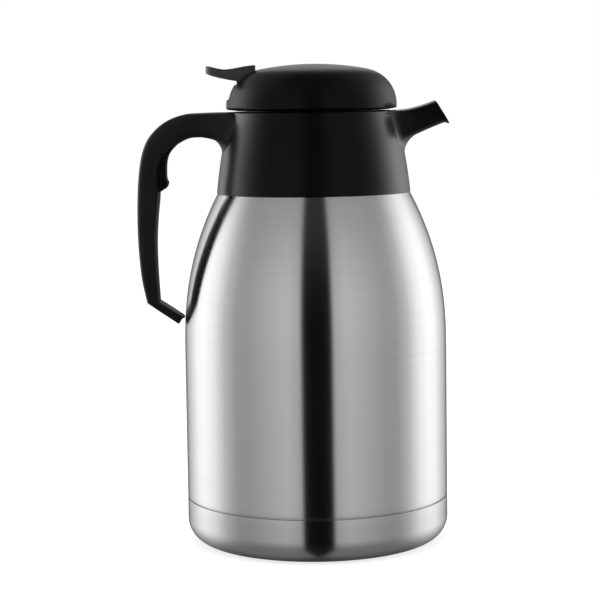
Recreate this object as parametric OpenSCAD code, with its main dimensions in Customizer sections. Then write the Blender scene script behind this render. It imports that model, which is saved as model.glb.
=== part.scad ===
// Thermal carafe: a double-walled steel flask with a plastic pouring collar,
// a handle moulded round the back, and a screw-off lid whose thumb lever
// lifts a spring-loaded pouring valve.
// Z is up, the origin is on the flask's axis at the plane it stands on,
// the spout points along +X and the handle along -X. Millimetres.

/* [Flask] */
// Outer radius of the steel flask
flask_r = 70; // [62:0.5:80]
// Height at which the straight wall turns into the shoulder
shoulder_start = 112; // [90:1:130]
// Thickness of the outer steel wall
shell_t = 0.8; // [0.5:0.1:1.2]
// Thickness of the inner steel wall
liner_t = 0.6; // [0.4:0.1:1]
// Width of the evacuated space between the two walls
vacuum_gap = 3.4; // [2:0.1:6]
// Height of the liner's floor above the table
liner_floor = 16; // [15:0.5:22]
// Inner radius of the neck
neck_r = 29.6; // [28.6:0.1:29.9]
// Height of the neck's lip above the shoulder's flat top
neck_h = 9.2; // [8:0.1:11]

/* [Base] */
// Height of the groove between the flask's wall and the base cup
seam_z = 24; // [18:0.5:34]
// Width of that groove
seam_gap = 0.8; // [0.4:0.1:1.5]
// Radius of the base cup's rounded bottom edge
base_round = 12; // [8:0.5:16]
// Width of the flat ring that the base cup stands on
foot_w = 7; // [4:0.5:12]
// Height of the hollow inside that ring
foot_rise = 2.6; // [1.5:0.1:4]
// Height of the disc that closes the vacuum space
disc_z = 10; // [8:0.5:12]

/* [Collar] */
// Height of the collar's lower edge
collar_z = 187; // [182:0.5:190]
// Outer radius of the collar at its lower edge
collar_low_r = 51.5; // [50:0.25:53]
// Width of the collar's top face around the bowl's lip
collar_rim = 2.95; // [2:0.05:5]
// Height of the collar
collar_h = 43; // [40:0.25:47]
// Radius of the gentle outward curve of the collar's side
collar_bow = 250; // [180:5:400]
// Wall of the collar
collar_t = 2.2; // [1.6:0.1:2.6]
// Rounding of the collar's top edge
collar_edge = 1.6; // [0.8:0.1:2.2]

/* [Pouring bowl] */
// Width of the bowl's floor around the flask's neck
bowl_margin = 7; // [6.4:0.1:8]
// Wall of the bowl
bowl_t = 1.8; // [1.4:0.1:2.2]
// Thickness of the bowl's floor
bowl_floor = 2.2; // [1.6:0.1:2.6]
// Width of the lip that hooks over the collar's top
bowl_lip = 2.6; // [1.8:0.1:3]
// Thickness of that lip
bowl_lip_t = 1.4; // [1:0.1:2]

/* [Spout] */
// Distance from the collar's rim to the mouth's upper edge
mouth_reach = 20.65; // [16:0.05:26]
// Height of the mouth's upper edge above the collar's top
mouth_rise = 4.6; // [2:0.1:6]
// Distance that the pouring lip stands out beyond the mouth's upper edge
lip_reach = 7.6; // [4:0.1:10]
// Height of the mouth
mouth_h = 12.4; // [10:0.1:15]
// Height of the spout where it leaves the collar
spout_root_h = 24; // [20:0.5:28]
// Width of the spout where it leaves the collar
spout_root_w = 36; // [28:0.5:42]
// Width of the mouth
spout_mouth_w = 22; // [16:0.5:28]
// Wall of the spout
spout_t = 1.9; // [1.4:0.1:2.4]

/* [Handle] */
// Depth of the handle, from the collar's rim to the back of the grip
handle_reach = 50; // [45:0.5:56]
// Height of the handle
handle_drop = 112; // [100:1:122]
// Width of the arm and the grip
grip_w = 24; // [18:0.5:28]
// Width of the handle's lower end
tip_w = 18; // [14:0.5:24]
// Width of the flared root on the collar
root_w = 33; // [28:0.5:36]
// Width of the strip let into the grip's inner side
strip_w = 15; // [10:0.5:17]
// Distance between the two screws that hold the handle
screw_span = 14; // [10:0.5:18]
// Distance of those screws below the collar's top
screw_drop = 9; // [8:0.5:11]

/* [Lid] */
// Distance that the lid overhangs the collar's rim
lid_over = 1.05; // [0.5:0.05:3]
// Height of the lid from its flange to its crown
lid_h = 24.1; // [21:0.1:28]
// Radius of the crown's curve
crown_r = 152; // [120:2:200]
// Wall of the lid's dome
dome_t = 2.2; // [1.6:0.1:2.6]
// Gap between the lid and the collar's top
lid_gap = 0.7; // [0.4:0.1:1.2]
// Height of the slope below the lid's upright rim
rim_lift = 1.9; // [1.2:0.1:2.4]
// Height of that upright rim
rim_h = 0.8; // [0.4:0.1:2]

/* [Stopper] */
// Gap between the bowl and the stopper's skirt, where the thread runs
skirt_gap = 2; // [1.8:0.1:2.4]
// Wall of the skirt and the plug
stopper_t = 2; // [1.6:0.1:2.4]
// Gap between the neck and the plug that hangs in it
plug_gap = 2.4; // [1.6:0.1:4]
// Depth of the plug below its shoulder
plug_h = 10; // [8:0.25:11]
// Radius of the valve's seat opening
seat_r = 13; // [10:0.25:15]
// Height of the pouring window
window_h = 6.6; // [4:0.1:7]
// Width of the pouring window
window_w = 24; // [16:0.5:26]
// Rise of the lid's thread in one full turn
thread_lead = 40; // [32:1:44]
// Number of thread starts
thread_starts = 4; // [3:1:4]
// Angle that each thread ridge covers
thread_span = 24; // [16:1:26]

/* [Lever and valve] */
// Distance of the lever's pin in from the lid's rim
pivot_in = 11.5; // [10.5:0.25:12.5]
// Distance of the lever's pin below the crown
pivot_drop = 13.3; // [12.8:0.1:14.3]
// Radius of the lever's pin
pin_r = 1.5; // [1:0.1:1.8]
// Width of the thumb lever
lever_w = 16; // [12:0.5:18]
// Radius of the valve's stem
stem_r = 2.25; // [1.8:0.05:2.6]
// Thickness of the valve's silicone seal
seal_t = 1.5; // [1:0.1:2]
// Radius of the spring's turns
coil_r = 5.6; // [5:0.1:7]
// Radius of the spring's wire
wire_r = 0.6; // [0.4:0.05:0.7]
// Number of turns in the spring
coil_turns = 6; // [4:1:8]

/* [Clearances] */
// Running clearance between a shaft and its hole
run_fit = 0.05; // [0.02:0.01:0.1]
// Gap between pieces that slide or lift past each other
loose_fit = 0.3; // [0.2:0.05:0.4]
// Gap between fixed pieces that are pushed together
seat_fit = 0.1; // [0.05:0.01:0.2]

/* [Hidden] */
$fn = 96;
big_fn = 240;
eps = 0.02;

// ---- radii that follow one another outwards ----
bowl_r = neck_r + bowl_margin;
bowl_out_r = bowl_r + bowl_t;
bowl_lip_r = bowl_out_r + bowl_lip;
collar_top_r = bowl_lip_r + collar_rim;
collar_top = collar_z + collar_h;
lid_r = collar_top_r + lid_over;
skirt_r = bowl_r - skirt_gap;
plug_r = neck_r - plug_gap;

// ---- flask ----
// The shoulder is one arc, tangent to the straight wall, that meets the collar's edge.
seat_r_low = collar_low_r - 0.2;
shoulder_rise = collar_z - shoulder_start;
shoulder_drop = flask_r - seat_r_low;
shoulder_arc = (pow(shoulder_rise, 2) + pow(shoulder_drop, 2)) / (2 * shoulder_drop);
shoulder_lift = 14;
shoulder_top = collar_z + shoulder_lift;
liner_inset = shell_t + vacuum_gap;
lip_z = shoulder_top + neck_h;
wall_gap = 0.2;
neck_out_r = neck_r + liner_t + wall_gap + shell_t;
joggle = shell_t + wall_gap;
disc_r = flask_r - joggle - shell_t;
disc_rim = 4;
vent_r = 1;
getter_r = 6;
getter_t = 2;
vent_seal_r = 4;
vent_seal_t = 1.6;

// ---- pouring bowl and what clamps it ----
bowl_floor_top = shoulder_top + bowl_floor;
gasket_t = 1.2;
nut_top = lip_z - gasket_t;
nut_gap = 0.7;
nut_r = bowl_r - nut_gap;
gasket_top = lip_z + gasket_t;

// ---- lid ----
flange_in = 5.5;
flange_r = lid_r - flange_in;
flange_low = collar_top + lid_gap;
flange_t = 1.8;
flange_top = flange_low + flange_t;
lid_top = flange_low + lid_h;
rim_z = flange_low + rim_lift;
// The lid's rounded shoulder is one arc, tangent to the crown and to the upright rim.
corner_z = rim_z + rim_h;
corner_up = corner_z - lid_top + crown_r;
lid_corner_r = (pow(crown_r, 2) - pow(lid_r, 2) - pow(corner_up, 2)) / (2 * (crown_r - lid_r));
corner_x = lid_r - lid_corner_r;
seal_ring_t = 1.8;
shoulder_z = gasket_top + loose_fit + seal_ring_t;
plug_z = shoulder_z - plug_h + stopper_t;
seat_z = plug_z + stopper_t;
plate_over = 4;
plate_z = shoulder_z + stopper_t + window_h + plate_over;
plate_t = 2.2;
plate_top = plate_z + plate_t;
post_r = 3.5;
post_ring_r = skirt_r - stopper_t - 2 * post_r + 0.4;
post_screw_h = 12;
post_angles = [0, 120, 240];
screw_r = 1.5;
head_r = 3;
head_h = 2;
slot_w = 0.7;
vent_w = 6;

// ---- thread ----
ridge_h = 1.6;
ridge_gap = 0.3;
ridge_step = thread_lead * thread_span / 360;
thread_root = 0.5;
crest_gap = 0.6;
female_z = collar_top - wall_gap - ridge_h - ridge_step;
male_z = female_z - ridge_gap - ridge_h;
male_ridge_r = bowl_r - crest_gap;
female_ridge_r = skirt_r + crest_gap;

// ---- lever and valve ----
pivot_x = lid_r - pivot_in;
pivot_z = lid_top - pivot_drop;
fork_back = 1;
fork_rise = 1.7;
fork_top = pivot_z + fork_rise;
fork_t = 3.4;
fork_w = 12;
fork_gap = 2 * stem_r + 1.9;
ear_gap = 0.3;
ear_t = 2.4;
ear_r = 3.4;
clip_r = 5.5;
clip_t = 1.6;
clip_z = fork_top + loose_fit;
foot_disc_r = 6;
foot_disc_t = 1.6;
valve_r = seat_r + 1.6;
disc_low = seat_z + seal_t;
disc_t = 2;
boss_r = 6;
boss_h = 2.4;
gland_r = 4.4;
gland_depth = 2.4;
gland_ring_r = 1;

// Point on a cubic curve
function bezier(p, t) =
    pow(1 - t, 3) * p[0] + 3 * pow(1 - t, 2) * t * p[1]
    + 3 * (1 - t) * pow(t, 2) * p[2] + pow(t, 3) * p[3];

// Smooth value through a list of evenly numbered stations
function station(v, u) =
    let (n = len(v) - 1, i = min(floor(u), n - 1), f = u - i,
         a = v[max(i - 1, 0)], b = v[i], c = v[i + 1], d = v[min(i + 2, n)])
    0.5 * (2 * b + (c - a) * f + (2 * a - 5 * b + 4 * c - d) * pow(f, 2)
           + (3 * b - a - 3 * c + d) * pow(f, 3));

// One ring of a loft, between an upper and a lower edge point in the XZ plane
function oval(up, low, half_w, power, sides) =
    let (mid = (up + low) / 2, arm = (up - low) / 2)
    [for (k = [0 : sides - 1])
        let (a = 360 * k / sides, c = cos(a), s = sin(a),
             cc = sign(c) * pow(abs(c), 2 / power), ss = sign(s) * pow(abs(s), 2 / power))
        [mid[0] + arm[0] * cc, half_w * ss, mid[1] + arm[1] * cc]];

// Middle of a list of points
function middle(ring) = [for (p = ring) 1] * ring / len(ring);

// Normal of a ring, as long as twice its area
function ring_normal(ring) =
    [for (k = [1 : len(ring) - 2]) 1]
    * [for (k = [1 : len(ring) - 2]) cross(ring[k] - ring[0], ring[k + 1] - ring[0])];

// Closed body through a list of rings that all have the same number of points
module loft(rings) {
    n = len(rings[0]);
    m = len(rings);
    outward = ring_normal(rings[0]) * (middle(rings[1]) - middle(rings[0])) > 0;
    points = [for (ring = rings) for (p = ring) p];
    sides = [for (j = [0 : m - 2]) for (k = [0 : n - 1])
        let (a = j * n + k, b = j * n + (k + 1) % n)
        each [[a, a + n, b], [b, a + n, b + n]]];
    low_cap = [for (k = [0 : n - 1]) k];
    high_cap = [for (k = [n - 1 : -1 : 0]) (m - 1) * n + k];
    faces = concat(sides, [low_cap], [high_cap]);
    polyhedron(points, outward ? faces : [for (f = faces) [for (k = [len(f) - 1 : -1 : 0]) f[k]]]);
}

// Flat-sided ring between two radii and two heights, as a half section
module band(r_in, r_out, z_low, z_high) {
    translate([r_in, z_low]) square([r_out - r_in, z_high - z_low]);
}

module ring(r_in, r_out, z_low, z_high) {
    rotate_extrude($fn = big_fn) band(r_in, r_out, z_low, z_high);
}

// Half section of the flask, taken in by inset from its outer surface
module flask_region(inset, z_low, z_high) {
    intersection() {
        union() {
            square([flask_r - inset, shoulder_start]);
            translate([flask_r - shoulder_arc, shoulder_start])
                circle(r = shoulder_arc - inset, $fn = big_fn);
        }
        translate([0, z_low]) square([flask_r, z_high - z_low]);
    }
}

// Half section with a rounded lower corner
module rounded_floor(r, z_low, z_high, corner) {
    band(0, r - corner, z_low, z_high);
    band(0, r, z_low + corner, z_high);
    translate([r - corner, z_low + corner]) circle(r = corner);
}

module outer_shell() color("silver") rotate_extrude($fn = big_fn) {
    difference() {
        flask_region(0, seam_z + seam_gap, shoulder_top);
        flask_region(shell_t, 0, shoulder_top - shell_t);
        band(0, neck_out_r - shell_t, shoulder_top - shell_t - eps, lip_z);
    }
    band(flask_r - joggle - shell_t, flask_r - joggle, disc_z, seam_z + seam_gap + shell_t);
    band(flask_r - joggle - eps, flask_r - shell_t / 2, seam_z + seam_gap,
         seam_z + seam_gap + shell_t);
    band(neck_out_r - shell_t, neck_out_r, shoulder_top - shell_t, lip_z - liner_t);
}

module inner_liner() color("gainsboro") rotate_extrude($fn = big_fn) {
    top = shoulder_top - liner_inset;
    corner = base_round;
    difference() {
        intersection() {
            flask_region(liner_inset, liner_floor, top);
            rounded_floor(flask_r - liner_inset, liner_floor, top, corner);
        }
        intersection() {
            flask_region(liner_inset + liner_t, liner_floor + liner_t, top - liner_t);
            rounded_floor(flask_r - liner_inset - liner_t, liner_floor + liner_t,
                          top, corner - liner_t);
        }
        band(0, neck_r, top - liner_t - eps, lip_z);
    }
    band(neck_r, neck_r + liner_t, top - liner_t, lip_z);
    band(neck_r, neck_out_r, lip_z - liner_t, lip_z);
}

// Half section of the space that the base cup fills, taken in by inset
module cup_region(inset) {
    rounded_floor(flask_r - inset, inset, seam_z + eps, base_round - inset);
}

module base_cup() color("silver") rotate_extrude($fn = big_fn) {
    foot_out = flask_r - base_round;
    foot_in = foot_out - foot_w;
    difference() {
        union() {
            difference() {
                cup_region(0);
                cup_region(shell_t);
            }
            band(0, foot_in, foot_rise, foot_rise + shell_t);
            polygon([[foot_in - foot_rise, foot_rise], [foot_in, 0], [foot_in + shell_t, 0],
                     [foot_in + shell_t, shell_t],
                     [foot_in - foot_rise + shell_t, foot_rise + shell_t]]);
        }
        polygon([[-1, -1], [foot_in, -1], [foot_in, 0], [foot_in - foot_rise, foot_rise],
                 [-1, foot_rise]]);
        band(-1, flask_r + 1, seam_z, seam_z + 1);
    }
}

module vacuum_disc() color("silver") difference() {
    union() {
        ring(0, disc_r, disc_z, disc_z + shell_t);
        ring(disc_r - shell_t, disc_r, disc_z, disc_z + disc_rim);
    }
    translate([0, 0, disc_z - 1]) cylinder(r = vent_r, h = shell_t + 2);
}

module getter() color("dimgray")
    translate([flask_r / 3, 0, disc_z + shell_t]) cylinder(r = getter_r, h = getter_t);

module evacuation_seal() color("gray") {
    translate([0, 0, disc_z - vent_seal_t]) cylinder(r = vent_seal_r, h = vent_seal_t);
    translate([0, 0, disc_z - eps]) cylinder(r = vent_r - eps, h = shell_t);
}

// Centre of an arc of radius r that bows outwards between two points
function arc_centre(p, q, r) =
    let (mid = (p + q) / 2, gap = q - p, half = norm(gap) / 2,
         side = [gap[1], -gap[0]] / norm(gap))
    mid - side * sqrt(pow(r, 2) - pow(half, 2));

collar_edge_z = collar_top - collar_edge;
collar_c = arc_centre([collar_low_r, collar_z], [collar_top_r, collar_edge_z], collar_bow);

// Outer radius of the collar at a height
function collar_r(z) = collar_c[0] + sqrt(pow(collar_bow, 2) - pow(z - collar_c[1], 2));

// Half section of the collar's outline, taken in by inset
module collar_region(inset) {
    intersection() {
        translate(collar_c) circle(r = collar_bow - inset, $fn = 3 * big_fn);
        union() {
            band(0, collar_low_r + 1, collar_z, collar_edge_z);
            band(0, collar_top_r - collar_edge, collar_z, collar_top - inset);
            translate([collar_top_r - collar_edge, collar_edge_z])
                circle(r = max(collar_edge - inset, eps));
        }
    }
}

// ---- spout ----
spout_sides = 32;
spout_steps = 12;
mouth_top_x = collar_top_r + mouth_reach;
mouth_top_z = collar_top + mouth_rise;
mouth_lip_x = mouth_top_x + lip_reach;
mouth_lip_z = mouth_top_z - mouth_h;
spout_root_z = collar_top - spout_root_h;
spout_top = [[bowl_out_r - 1, collar_top - 0.3], [collar_top_r + 6, collar_top - 1.6],
             [mouth_top_x - 6.4, mouth_top_z - 2.4], [mouth_top_x, mouth_top_z]];
spout_low = [[collar_r(spout_root_z) - collar_t, spout_root_z],
             [collar_top_r + 4.5, collar_top - 15],
             [mouth_lip_x - 16, mouth_lip_z - 3.8], [mouth_lip_x, mouth_lip_z]];
duct_top = [[bowl_r - 1.4, collar_top - 6.8], [collar_top_r + 4, collar_top - 5],
            [mouth_top_x - 7, mouth_top_z - 4.6], [mouth_top_x + 0.6, mouth_top_z - 1.4]];
duct_low = [[bowl_r - 1.4, gasket_top + 2.2], [collar_top_r + 4, collar_top - 14],
            [mouth_lip_x - 14, mouth_lip_z - 1.4], [mouth_lip_x + 0.9, mouth_lip_z + 1]];
spout_widths = [spout_root_w, spout_root_w - 9, spout_mouth_w + 0.5, spout_mouth_w] / 2;

function spout_ring(t) =
    oval(bezier(spout_top, t), bezier(spout_low, t), bezier(spout_widths, t), 2.3, spout_sides);

function duct_ring(t) =
    oval(bezier(duct_top, t), bezier(duct_low, t), bezier(spout_widths, t) - spout_t,
         2.3, spout_sides);

module spout_body() {
    loft([for (i = [0 : spout_steps]) spout_ring(i / spout_steps)]);
}

module spout_duct() {
    loft([for (i = [0 : spout_steps]) duct_ring(i / spout_steps)]);
}

// The duct where it crosses the hollow between the bowl and the collar
module duct_sleeve() {
    loft([for (i = [0 : spout_steps / 2]) let (t = i / spout_steps)
        oval(bezier(duct_top, t) + [0, spout_t], bezier(duct_low, t) - [0, spout_t],
             bezier(spout_widths, t), 2.3, spout_sides)]);
}

// The screws' shared axis places, one each side of the middle plane
module at_handle_screws() {
    for (side = [-1, 1])
        translate([-handle_seat_x, side * screw_span / 2, screw_z]) rotate([0, -90, 0]) children();
}

screw_z = collar_top - screw_drop;
handle_screw_h = 13;
boss_margin = 5;
boss_t = 2.3;
handle_seat_x = collar_r(screw_z) - collar_t - boss_t;

module collar() color("#1b1b1d") difference() {
    union() {
        rotate_extrude($fn = big_fn) difference() {
            collar_region(0);
            difference() {
                collar_region(collar_t);
                band(0, collar_top_r, collar_top - collar_t, collar_top + 1);
            }
        }
        difference() {
            union() {
                spout_body();
                duct_sleeve();
            }
            cylinder(r = bowl_lip_r, h = lid_top);
        }
        intersection() {
            duct_sleeve();
            ring(bowl_out_r + seat_fit, collar_top_r, collar_z, collar_top);
        }
        intersection() {
            translate([-collar_low_r, -screw_span / 2 - boss_margin, screw_z - boss_margin])
                cube([collar_low_r - handle_seat_x, screw_span + 2 * boss_margin,
                      2 * boss_margin]);
            rotate_extrude($fn = big_fn) collar_region(collar_t / 2);
        }
    }
    spout_duct();
    cylinder(r = bowl_out_r + seat_fit, h = lid_top);
    ring(0, bowl_lip_r + seat_fit, collar_top - bowl_lip_t - seat_fit, lid_top);
    rotate_extrude($fn = big_fn) flask_region(-seat_fit, 0, shoulder_top + seat_fit);
    at_handle_screws() cylinder(r = screw_r + loose_fit, h = 2 * handle_screw_h, center = true);
}

// One helical ridge with sloping flanks, on the wall at r_wall, reaching to r_crest
module thread_ridge(r_wall, r_crest, z_low) {
    steps = 8;
    taper = ridge_h / 4;
    loft([for (i = [0 : steps])
        let (a = thread_span * (i / steps - 0.5), z = z_low + ridge_step * i / steps,
             d = [cos(a), sin(a)])
        [for (q = [[r_wall, 0], [r_crest, taper], [r_crest, ridge_h - taper],
                   [r_wall, ridge_h]])
            [q[0] * d[0], q[0] * d[1], z + q[1]]]]);
}

module thread_ring(r_wall, r_crest, z_low) {
    for (k = [0 : thread_starts - 1])
        rotate(360 / thread_starts * (k + 0.5)) thread_ridge(r_wall, r_crest, z_low);
}

module pour_bowl() color("#222224") union() {
    difference() {
        rotate_extrude($fn = big_fn) {
            band(neck_out_r + seat_fit, bowl_out_r, shoulder_top, bowl_floor_top);
            band(bowl_r, bowl_out_r, shoulder_top, collar_top);
            band(bowl_r, bowl_lip_r, collar_top - bowl_lip_t, collar_top);
        }
        spout_duct();
    }
    thread_ring(bowl_r + thread_root, female_ridge_r, female_z);
}

module neck_nut() color("#2c2c2e") difference() {
    ring(neck_out_r + seat_fit, nut_r, bowl_floor_top, nut_top);
    for (k = [0 : 5]) rotate(60 * k)
        translate([nut_r - 1.4, -2, nut_top - 2]) cube([3, 4, 3]);
}

module neck_gasket() color("#d8d8d4") rotate_extrude($fn = big_fn) {
    band(neck_r + 0.2, nut_r, lip_z, gasket_top);
    band(neck_out_r + seat_fit, nut_r, nut_top, lip_z + eps);
}

// ---- handle ----
// Point of the side view of a handle 50 deep and 112 high, behind the collar's rim
// and below its top, stretched to the sizes asked for
function side_point(back, down) =
    [-collar_top_r - back * handle_reach / 50, collar_top - down * handle_drop / 112];

// Stations from the collar to the lower corner: outer edge, inner edge, half width.
handle_path = [
    [side_point(-0.95, 0.1), side_point(2.65, 24.5), root_w / 2 + 1],
    [side_point(3.55, 0.05), side_point(4.95, 18.6), root_w / 2 - 1.5],
    [side_point(9.05, 0.1), side_point(9.45, 15), grip_w / 2 + 1],
    [side_point(16.05, 0.3), side_point(16.55, 13.1), grip_w / 2],
    [side_point(23.05, 0.7), side_point(22.25, 13.8), grip_w / 2],
    [side_point(30.05, 2.7), side_point(26.85, 16.1), grip_w / 2],
    [side_point(36.05, 5.9), side_point(30.85, 18.5), grip_w / 2],
    [side_point(41.05, 10.4), side_point(34.25, 22), grip_w / 2],
    [side_point(44.75, 15.8), side_point(36.45, 26.6), grip_w / 2],
    [side_point(47.25, 23.2), side_point(37.35, 32), grip_w / 2],
    [side_point(48.75, 32.5), side_point(37.65, 38), grip_w / 2],
    [side_point(49.55, 42.5), side_point(37.95, 45), grip_w / 2],
    [side_point(49.95, 55), side_point(39.15, 56), grip_w / 2],
    [side_point(49.85, 67), side_point(39.85, 67.5), (3 * grip_w + tip_w) / 8],
    [side_point(49.25, 78.5), side_point(39.85, 79), (2 * grip_w + tip_w) / 6],
    [side_point(48.05, 89.5), side_point(39.25, 89), (grip_w + tip_w) / 4],
    [side_point(45.75, 100.8), side_point(38.25, 99.6), (grip_w + 2 * tip_w) / 6]
];
leg_t = 5.8;
pad_t = 1.8;
pad_w = 10;
pad_len = 4;
tip_outer = [-flask_r - 2.9, side_point(0, 112.4)[1]];
tip_inner = tip_outer + [3.1, leg_t - 1];
handle_sides = 36;
strip_path = [
    [side_point(20.65, 11.8), side_point(20.25, 13.25)],
    [side_point(27.25, 14.7), side_point(26.05, 16.05)],
    [side_point(31.75, 17.5), side_point(29.55, 19)],
    [side_point(35.35, 21.2), side_point(32.15, 22.2)],
    [side_point(37.55, 26.2), side_point(33.65, 26.4)],
    [side_point(38.45, 31.8), side_point(34.25, 32)],
    [side_point(38.65, 35), side_point(34.05, 35)],
    [side_point(38.75, 37.1), side_point(33.25, 37.1)],
    [side_point(38.85, 38.8), side_point(34.25, 39.5)],
    [side_point(38.95, 40), side_point(36.45, 41)],
    [side_point(39.05, 41), side_point(37.75, 41.8)]
];

function handle_ring(u) =
    oval(station([for (s = handle_path) s[0]], u), station([for (s = handle_path) s[1]], u),
         station([for (s = handle_path) s[2]], u), 2.9, handle_sides);

module handle_loft() {
    last = len(handle_path) - 1;
    corner = handle_path[last];
    foot = [for (i = [1 : 3]) let (f = i / 3)
        oval(corner[0] * (1 - f) + tip_outer * f, corner[1] * (1 - f) + tip_inner * f,
             corner[2] * (1 - f) + tip_w / 2 * f, 2.9, handle_sides)];
    loft(concat([for (i = [0 : 2 * last]) handle_ring(i / 2)], foot));
}

// The strip's body, grown by extra on every side but its showing face
module strip_loft(extra) {
    last = len(strip_path) - 1;
    loft([for (i = [0 : 2 * last])
        let (u = i / 2, out = station([for (s = strip_path) s[0]], u),
             in = station([for (s = strip_path) s[1]], u), dir = (out - in) / norm(out - in))
        oval(out + dir * extra, in - dir * extra * 4, strip_w / 2 + extra, 5, 24)]);
}

module handle() color("#151516") difference() {
    handle_loft();
    strip_loft(seat_fit);
    rotate_extrude($fn = big_fn) collar_region(-seat_fit);
    at_handle_screws() cylinder(r = screw_r + run_fit, h = 2 * (handle_screw_h + 1), center = true);
    pad_bar(seat_fit);
}

module handle_strip() color("#0f0f10") strip_loft(0);

// One slot of a screw's cross recess, from the head's face at z up
module slot_cut(z) {
    translate([-head_r * 0.6, -slot_w / 2, z - eps]) cube([head_r * 1.2, slot_w, head_h / 2]);
}

module handle_screws() color("silver") at_handle_screws() difference() {
    union() {
        translate([0, 0, -head_h]) cylinder(r = head_r, h = head_h);
        translate([0, 0, -eps]) cylinder(r = screw_r, h = handle_screw_h);
    }
    for (a = [0, 90]) rotate(a) slot_cut(-head_h);
}

// A bar let into the handle's lower end that rests against the flask
module pad_bar(extra) {
    pad_z = (tip_inner[1] + tip_outer[1] - pad_t) / 2;
    translate([-flask_r - pad_len, -pad_w / 2 - extra, pad_z - extra])
        cube([2 * pad_len, pad_w + 2 * extra, pad_t + 2 * extra]);
}

module handle_pad() color("#303032") difference() {
    pad_bar(0);
    rotate_extrude($fn = big_fn) flask_region(-eps, 0, shoulder_top);
}

// ---- lid ----
module stopper_gasket() color("#d8d8d4")
    ring(plug_r + seat_fit, skirt_r - stopper_t, gasket_top + loose_fit, shoulder_z);

module at_posts() {
    for (a = post_angles) rotate(a) translate([post_ring_r, 0, 0]) children();
}

module ear(side) {
    y = side * (lever_w / 2 + ear_gap + ear_t / 2);
    difference() {
        translate([0, y, 0]) rotate([90, 0, 0]) linear_extrude(height = ear_t, center = true) {
            translate([-pivot_x, pivot_z]) circle(r = ear_r);
            translate([-pivot_x - ear_r, flange_top - eps])
                square([2 * ear_r, pivot_z - flange_top]);
        }
        translate([-pivot_x, y, pivot_z]) rotate([90, 0, 0])
            cylinder(r = pin_r + run_fit, h = 3 * ear_t, center = true);
    }
}

module stopper() color("#1e1e20") {
    difference() {
        union() {
            rotate_extrude($fn = big_fn) {
                band(skirt_r - stopper_t, skirt_r, shoulder_z, flange_top);
                band(skirt_r - stopper_t, flange_r, flange_low, flange_top);
                band(0, skirt_r - eps, plate_z, plate_top);
                band(plug_r - stopper_t, skirt_r, shoulder_z, shoulder_z + stopper_t);
                band(plug_r - stopper_t, plug_r, plug_z, shoulder_z + stopper_t);
                band(seat_r, plug_r, plug_z, seat_z);
                band(0, boss_r, plate_z, plate_top + boss_h);
            }
            thread_ring(skirt_r - thread_root, male_ridge_r, male_z);
        }
        translate([skirt_r - 3 * stopper_t, -window_w / 2, shoulder_z + stopper_t])
            cube([6 * stopper_t, window_w, window_h]);
        translate([-skirt_r - stopper_t, -vent_w / 2, shoulder_z + stopper_t])
            cube([3 * stopper_t, vent_w, vent_w / 2]);
        translate([0, 0, plate_z - 1]) cylinder(r = stem_r + run_fit, h = lid_h);
        translate([0, 0, plate_top + boss_h - gland_depth]) cylinder(r = gland_r, h = lid_h);
        at_posts() translate([0, 0, plate_z - 1]) cylinder(r = screw_r + loose_fit, h = plate_t + 2);
    }
    for (side = [-1, 1]) ear(side);
}

// Half section of the dome's outline, taken in by inset
module dome_region(inset) {
    tangent_x = (crown_r - inset) * corner_x / (crown_r - lid_corner_r);
    intersection() {
        translate([0, lid_top - crown_r]) circle(r = crown_r - inset, $fn = 3 * big_fn);
        band(0, tangent_x, corner_z, lid_top);
    }
    intersection() {
        translate([corner_x, corner_z]) circle(r = lid_corner_r - inset, $fn = big_fn);
        band(0, lid_r, corner_z, lid_top);
    }
}

module dome_shell() rotate_extrude($fn = big_fn) difference() {
    union() {
        dome_region(0);
        polygon([[0, corner_z + eps], [lid_r, corner_z + eps], [lid_r, rim_z],
                 [flange_r + 0.4, flange_low], [0, flange_low]]);
    }
    dome_region(dome_t);
    band(-1, lid_r - dome_t, flange_top + seat_fit, corner_z + 2 * eps);
    band(-1, flange_r + seat_fit, flange_low - 1, flange_top + 1);
}

slot_gap = 0.8;
lever_slot_in = pivot_x - 3.7;
lever_slot_out = pivot_x + 8;
tab_reach = 1.3;
tab_w = 10;
tab_h = 2.8;

module lid_dome() color("#1c1c1e") difference() {
    union() {
        dome_shell();
        intersection() {
            at_posts() translate([0, 0, plate_top]) cylinder(r = post_r, h = lid_h);
            rotate_extrude($fn = big_fn) union() {
                dome_region(dome_t / 2);
                band(0, lid_r - dome_t, plate_top, corner_z + eps);
            }
        }
        translate([-lid_r - tab_reach, -tab_w / 2, rim_z + 0.1])
            cube([tab_reach + dome_t / 2, tab_w, tab_h]);
    }
    translate([-lever_slot_out, -lever_w / 2 - slot_gap, pivot_z])
        cube([lever_slot_out - lever_slot_in, lever_w + 2 * slot_gap, lid_h]);
    at_posts() translate([0, 0, plate_z]) cylinder(r = screw_r + run_fit, h = post_screw_h + 1);
}

module lid_screws() color("silver") at_posts() difference() {
    union() {
        translate([0, 0, plate_z - head_h]) cylinder(r = head_r, h = head_h);
        translate([0, 0, plate_z - eps]) cylinder(r = screw_r, h = post_screw_h);
    }
    for (a = [0, 90]) rotate(a) slot_cut(plate_z - head_h);
}

module stem_seal() color("#8a2f28")
    translate([0, 0, plate_top + boss_h - gland_ring_r]) rotate_extrude()
        translate([gland_r - gland_ring_r, 0]) circle(r = gland_ring_r);

module lever_pin() color("silver")
    translate([-pivot_x, 0, pivot_z]) rotate([90, 0, 0])
        cylinder(r = pin_r, h = lever_w + 2 * ear_gap + 2 * ear_t + 0.4, center = true);

// Point of the lever's side view, behind the pin and above it
function lever_point(back, up) = [-pivot_x - back, pivot_z + up];

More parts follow.
